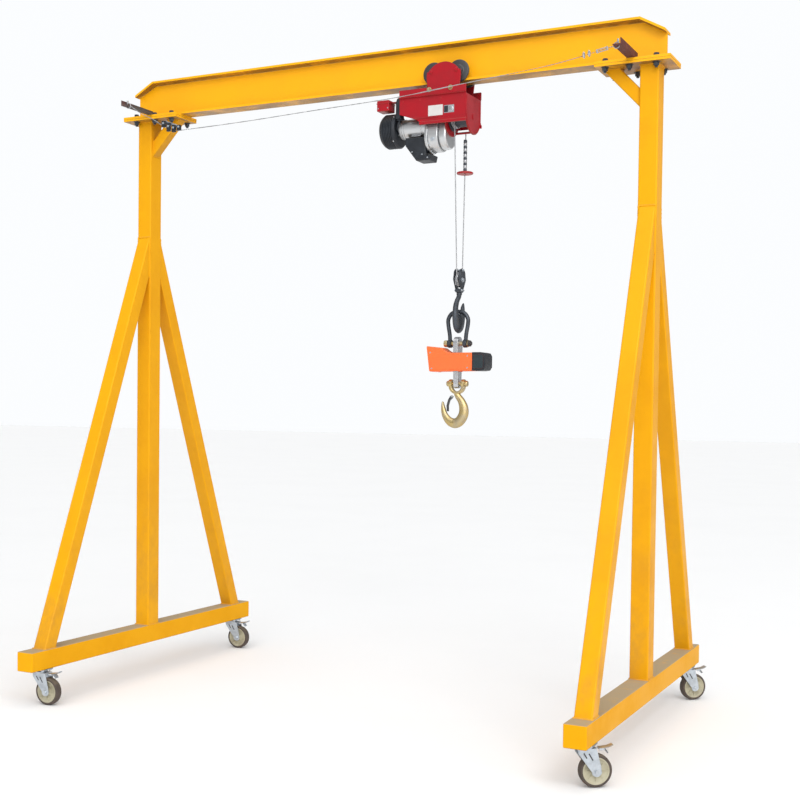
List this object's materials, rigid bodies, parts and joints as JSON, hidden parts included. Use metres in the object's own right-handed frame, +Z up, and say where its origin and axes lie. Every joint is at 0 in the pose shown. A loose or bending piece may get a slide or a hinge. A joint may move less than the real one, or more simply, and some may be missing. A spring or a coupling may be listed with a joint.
{
  "type": "portable gantry crane",
  "caption": "Portable gantry crane: two A-frame legs on braked castors, a bolted I-beam, and a trolley with an electric rope hoist, a hook block and a hanging crane scale.",
  "frame": {"origin": "on the floor, under the middle of the crane", "axes": "+X along the beam, towards the leg nearer the viewer; +Y along the foot beams, away from the viewer; +Z up"},
  "size_m": [3.12, 2, 3.377],
  "materials": {
    "yellow_paint": "satin yellow enamel, a little dusty",
    "red_paint": "red powder coat",
    "rust_primer": "matt red-brown primer",
    "zinc": "bright zinc plating",
    "wire_steel": "bare steel wire",
    "tyre": "matt black-brown tread on a cream core",
    "black_plastic": "grained black",
    "black_steel": "black, worn bright on the treads",
    "cast_aluminium": "as cast",
    "dark_steel": "dark forged steel",
    "polished_steel": "machined",
    "yellow_zinc": "yellow passivated zinc",
    "orange_case": "orange powder coat on a casting"
  },
  "bodies": {
    "frame": {"i_beam": "yellow_paint", "festoon_wire": "wire_steel", "foot_beam_right": "yellow_paint", "column_right": "yellow_paint", "brace_right_front": "yellow_paint", "brace_right_back": "yellow_paint", "knee_brace_right": "yellow_paint", "column_plate_right": "yellow_paint", "wire_arm_right": "rust_primer", "foot_beam_left": "yellow_paint", "column_left": "yellow_paint", "brace_left_front": "yellow_paint", "brace_left_back": "yellow_paint", "knee_brace_left": "yellow_paint", "column_plate_left": "yellow_paint", "wire_arm_left": "rust_primer", "castor_plate_right_front": "zinc", "castor_plate_right_back": "zinc", "castor_plate_left_front": "zinc", "castor_plate_left_back": "zinc"},
    "castor_right_front": {"castor_fork_right_front": "zinc"},
    "wheel_right_front": {"castor_wheel_right_front": "tyre"},
    "pedal_right_front": {"castor_pedal_right_front": "zinc"},
    "castor_right_back": {"castor_fork_right_back": "zinc"},
    "wheel_right_back": {"castor_wheel_right_back": "tyre"},
    "pedal_right_back": {"castor_pedal_right_back": "zinc"},
    "castor_left_front": {"castor_fork_left_front": "zinc"},
    "wheel_left_front": {"castor_wheel_left_front": "tyre"},
    "pedal_left_front": {"castor_pedal_left_front": "zinc"},
    "castor_left_back": {"castor_fork_left_back": "zinc"},
    "wheel_left_back": {"castor_wheel_left_back": "tyre"},
    "pedal_left_back": {"castor_pedal_left_back": "zinc"},
    "trolley": {"trolley_plate_front": "red_paint", "trolley_plate_back": "red_paint", "tie_bolt_left": "polished_steel", "tie_bolt_right": "polished_steel", "hoist_frame": "red_paint", "hoist_motor": "cast_aluminium", "fan_cover": "black_plastic", "gearbox": "cast_aluminium", "control_box": "black_plastic", "limit_switch_box": "red_paint", "rope_fall_front": "wire_steel", "rope_fall_back": "wire_steel"},
    "trolley_wheel_front_left": {"trolley_wheel_front_left": "black_steel"},
    "trolley_wheel_front_right": {"trolley_wheel_front_right": "black_steel"},
    "trolley_wheel_back_left": {"trolley_wheel_back_left": "black_steel"},
    "trolley_wheel_back_right": {"trolley_wheel_back_right": "black_steel"},
    "drum": {"rope_drum": "dark_steel"},
    "limit_weight": {"limit_weight": "red_paint"},
    "block": {"hook_block": "dark_steel"},
    "sheave": {"block_sheave": "zinc"},
    "swivel_hook": {"block_hook": "dark_steel"},
    "shackle": {"shackle": "dark_steel", "shackle_pin": "yellow_zinc"},
    "scale": {"scale_case": "orange_case", "scale_load_plate": "polished_steel"},
    "load_hook": {"load_hook": "yellow_zinc", "load_hook_pin": "yellow_zinc"},
    "latch": {"load_hook_latch": "dark_steel"}
  },
  "joints": [
    {"name": "swivel_right_front", "type": "hinge", "parent": "frame", "child": "castor_right_front", "pos_m": [1.45, -0.88, 0.16], "axis": [0, 0, 1], "continuous": true},
    {"name": "roll_right_front", "type": "hinge", "parent": "castor_right_front", "child": "wheel_right_front", "pos_m": [1.49096, -0.85132, 0.07], "axis": [-0.5736, 0.8191, 0], "continuous": true},
    {"name": "brake_right_front", "type": "hinge", "parent": "castor_right_front", "child": "pedal_right_front", "pos_m": [1.50079, -0.84444, 0.1582], "axis": [-0.5736, 0.8191, 0], "range_deg": [0, 12]},
    {"name": "swivel_right_back", "type": "hinge", "parent": "frame", "child": "castor_right_back", "pos_m": [1.45, 0.88, 0.16], "axis": [0, 0, 1], "continuous": true},
    {"name": "roll_right_back", "type": "hinge", "parent": "castor_right_back", "child": "wheel_right_back", "pos_m": [1.48657, 0.9141, 0.07], "axis": [-0.682, 0.7314, 0], "continuous": true},
    {"name": "brake_right_back", "type": "hinge", "parent": "castor_right_back", "child": "pedal_right_back", "pos_m": [1.49534, 0.92228, 0.1582], "axis": [-0.682, 0.7314, 0], "range_deg": [0, 12]},
    {"name": "swivel_left_front", "type": "hinge", "parent": "frame", "child": "castor_left_front", "pos_m": [-1.45, -0.88, 0.16], "axis": [0, 0, 1], "continuous": true},
    {"name": "roll_left_front", "type": "hinge", "parent": "castor_left_front", "child": "wheel_left_front", "pos_m": [-1.40007, -0.87738, 0.07], "axis": [-0.0523, 0.9986, 0], "continuous": true},
    {"name": "brake_left_front", "type": "hinge", "parent": "castor_left_front", "child": "pedal_left_front", "pos_m": [-1.38808, -0.87676, 0.1582], "axis": [-0.0523, 0.9986, 0], "range_deg": [0, 12]},
    {"name": "swivel_left_back", "type": "hinge", "parent": "frame", "child": "castor_left_back", "pos_m": [-1.45, 0.88, 0.16], "axis": [0, 0, 1], "continuous": true},
    {"name": "roll_left_back", "type": "hinge", "parent": "castor_left_back", "child": "wheel_left_back", "pos_m": [-1.40007, 0.88262, 0.07], "axis": [-0.0523, 0.9986, 0], "continuous": true},
    {"name": "brake_left_back", "type": "hinge", "parent": "castor_left_back", "child": "pedal_left_back", "pos_m": [-1.38808, 0.88324, 0.1582], "axis": [-0.0523, 0.9986, 0], "range_deg": [0, 12]},
    {"name": "trolley_travel", "type": "slide", "parent": "frame", "child": "trolley", "axis": [1, 0, 0], "range_m": [-1.23, 0.62]},
    {"name": "trolley_roll_front_left", "type": "hinge", "parent": "trolley", "child": "trolley_wheel_front_left", "pos_m": [0.357, -0.0515, 3.224], "axis": [0, 1, 0], "continuous": true},
    {"name": "trolley_roll_front_right", "type": "hinge", "parent": "trolley", "child": "trolley_wheel_front_right", "pos_m": [0.493, -0.0515, 3.224], "axis": [0, 1, 0], "continuous": true},
    {"name": "trolley_roll_back_left", "type": "hinge", "parent": "trolley", "child": "trolley_wheel_back_left", "pos_m": [0.357, 0.0515, 3.224], "axis": [0, 1, 0], "continuous": true},
    {"name": "trolley_roll_back_right", "type": "hinge", "parent": "trolley", "child": "trolley_wheel_back_right", "pos_m": [0.493, 0.0515, 3.224], "axis": [0, 1, 0], "continuous": true},
    {"name": "lift", "type": "slide", "parent": "trolley", "child": "block", "axis": [0, 0, 1], "range_m": [-1.38, 0.45], "deforming": ["rope_fall_front", "rope_fall_back"]},
    {"name": "drum_spin", "type": "hinge", "parent": "trolley", "child": "drum", "pos_m": [0.4905, 0, 3.004], "axis": [1, 0, 0], "continuous": true},
    {"name": "sheave_spin", "type": "hinge", "parent": "block", "child": "sheave", "pos_m": [0.487, 0, 2.194], "axis": [1, 0, 0], "continuous": true},
    {"name": "limit_lift", "type": "slide", "parent": "trolley", "child": "limit_weight", "axis": [0, 0, 1], "range_m": [0, 0.025]},
    {"name": "hook_swivel", "type": "hinge", "parent": "block", "child": "swivel_hook", "pos_m": [0.487, 0, 2.14], "axis": [0, 0, 1], "continuous": true},
    {"name": "shackle_swing", "type": "hinge", "parent": "swivel_hook", "child": "shackle", "pos_m": [0.483, 0, 2.0355], "axis": [1, 0, 0], "range_deg": [-25, 25]},
    {"name": "scale_swing", "type": "hinge", "parent": "shackle", "child": "scale", "pos_m": [0.483, 0, 1.875], "axis": [1, 0, 0], "range_deg": [-25, 25]},
    {"name": "load_hook_swing", "type": "hinge", "parent": "scale", "child": "load_hook", "pos_m": [0.483, 0, 1.673], "axis": [1, 0, 0], "range_deg": [-25, 25]},
    {"name": "latch_hinge", "type": "hinge", "parent": "load_hook", "child": "latch", "pos_m": [0.455, 0, 1.607], "axis": [0, -1, 0], "range_deg": [0, 32], "stiffness_Nm_per_rad": 0.08, "springref_deg": -57.3}
  ],
  "couplings": [
    {"joint": "trolley_roll_front_left", "follows": "trolley_travel", "rad_per_m": 28.329},
    {"joint": "trolley_roll_front_right", "follows": "trolley_travel", "rad_per_m": 28.329},
    {"joint": "trolley_roll_back_left", "follows": "trolley_travel", "rad_per_m": 28.329},
    {"joint": "trolley_roll_back_right", "follows": "trolley_travel", "rad_per_m": 28.329},
    {"joint": "drum_spin", "follows": "lift", "rad_per_m": -41.408},
    {"joint": "sheave_spin", "follows": "lift", "rad_per_m": -29.412}
  ]
}
